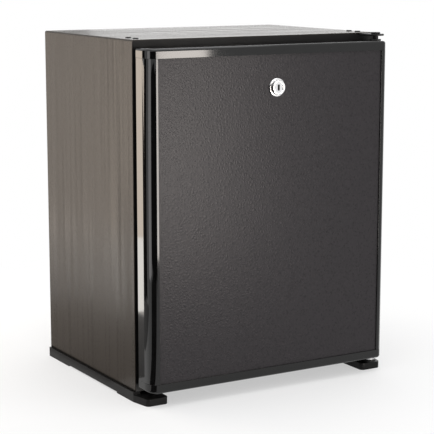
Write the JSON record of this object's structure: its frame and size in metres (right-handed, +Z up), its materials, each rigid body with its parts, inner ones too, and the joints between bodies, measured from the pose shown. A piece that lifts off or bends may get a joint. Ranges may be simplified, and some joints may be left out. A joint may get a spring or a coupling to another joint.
{
  "type": "minibar fridge",
  "caption": "Small free-standing hotel minibar fridge with a hinged insulated door, key lock, wire shelves, door bins and an absorption cooling unit on the back.",
  "frame": {"origin": "on the floor, under the middle of the bounding box", "axes": "+X to the right and +Y to the back as one faces the door, +Z up"},
  "size_m": [0.406, 0.405, 0.5015],
  "materials": {
    "cabinet_steel": "satin brown-grey paint with a fine upright brushed grain",
    "black_steel": "satin black paint",
    "insulation_foam": "rigid cream foam",
    "white_plastic": "smooth white moulded plastic",
    "black_frame_plastic": "satin black",
    "gloss_black_plastic": "polished black",
    "door_panel_sheet": "dark satin sheet with a fine leather-like grain",
    "rail_plastic": "satin black moulded plastic",
    "hinge_steel": "black painted steel",
    "zinc_steel": "zinc plated",
    "bush_plastic": "black nylon",
    "gasket_rubber": "soft black seal",
    "lock_chrome": "polished chrome",
    "evaporator_aluminium": "plain drawn aluminium",
    "shelf_wire": "white plastic coated wire",
    "bin_plastic": "smooth pale plastic",
    "lens_plastic": "milky lens",
    "drain_plastic": "grey plastic tube",
    "cover_sheet": "dull metal cover"
  },
  "bodies": {
    "cabinet": {"outer_wrap": "cabinet_steel", "base_pan": "black_steel", "rear_panel": "black_steel", "cabinet_foam": "insulation_foam", "inner_liner": "white_plastic", "front_frame": "black_frame_plastic", "left_base_rail": "rail_plastic", "right_base_rail": "rail_plastic", "rail_screws": "zinc_steel", "top_hinge_plate": "hinge_steel", "top_hinge_pin": "hinge_steel", "top_hinge_screws": "hinge_steel", "hinge_hole_plugs": "rail_plastic", "bottom_hinge_bracket": "hinge_steel", "bottom_hinge_pin": "zinc_steel", "bottom_hinge_screws": "zinc_steel", "lock_keeper": "zinc_steel", "control_housing": "white_plastic", "lamp_lens": "lens_plastic", "light_switch_body": "white_plastic", "evaporator_fins": "evaporator_aluminium", "drip_gutter": "white_plastic", "drain_tube": "drain_plastic", "drip_cup": "rail_plastic", "lower_shelf": "shelf_wire", "upper_shelf": "shelf_wire", "boiler_case": "black_steel", "condenser_tube": "black_steel", "condenser_fins": "black_steel", "evaporator_cover": "cover_sheet", "absorber_vessel": "black_steel", "absorber_coil": "black_steel", "solution_tube": "black_steel", "cooling_brackets": "black_steel", "terminal_box": "rail_plastic", "cord_gland": "rail_plastic"},
    "door": {"door_top_bush": "bush_plastic", "door_bottom_bush": "bush_plastic", "door_left_stile": "gloss_black_plastic", "door_right_stile": "gloss_black_plastic", "door_top_rail": "gloss_black_plastic", "door_bottom_rail": "gloss_black_plastic", "door_front_panel": "door_panel_sheet", "door_foam": "insulation_foam", "door_inner_liner": "white_plastic", "door_gasket": "gasket_rubber", "lower_bin": "bin_plastic", "middle_bin": "bin_plastic", "upper_bin": "bin_plastic", "bottle_bar": "shelf_wire", "lock_body": "lock_chrome", "lock_nut": "zinc_steel"},
    "lock_cylinder": {"lock_plug": "lock_chrome", "lock_cam": "zinc_steel", "lock_cam_screw": "zinc_steel"},
    "thermostat": {"thermostat_knob": "white_plastic"},
    "light_switch": {"switch_plunger": "white_plastic"}
  },
  "joints": [
    {"name": "door_swing", "type": "hinge", "parent": "cabinet", "child": "door", "pos_m": [0.183, -0.1745, 0.25], "axis": [0, 0, 1], "range_deg": [0, 120]},
    {"name": "lock_turn", "type": "hinge", "parent": "door", "child": "lock_cylinder", "pos_m": [0, -0.17, 0.4315], "axis": [0, 1, 0], "range_deg": [0, 90]},
    {"name": "thermostat_turn", "type": "hinge", "parent": "cabinet", "child": "thermostat", "pos_m": [0.13, -0.0659, 0.45], "axis": [0, 1, 0], "range_deg": [0, 270]},
    {"name": "switch_travel", "type": "slide", "parent": "cabinet", "child": "light_switch", "axis": [0, -1, 0], "range_m": [0, 0.004]}
  ],
  "couplings": [
    {"joint": "switch_travel", "follows": "door_swing", "m_per_rad": 0.0019098}
  ]
}
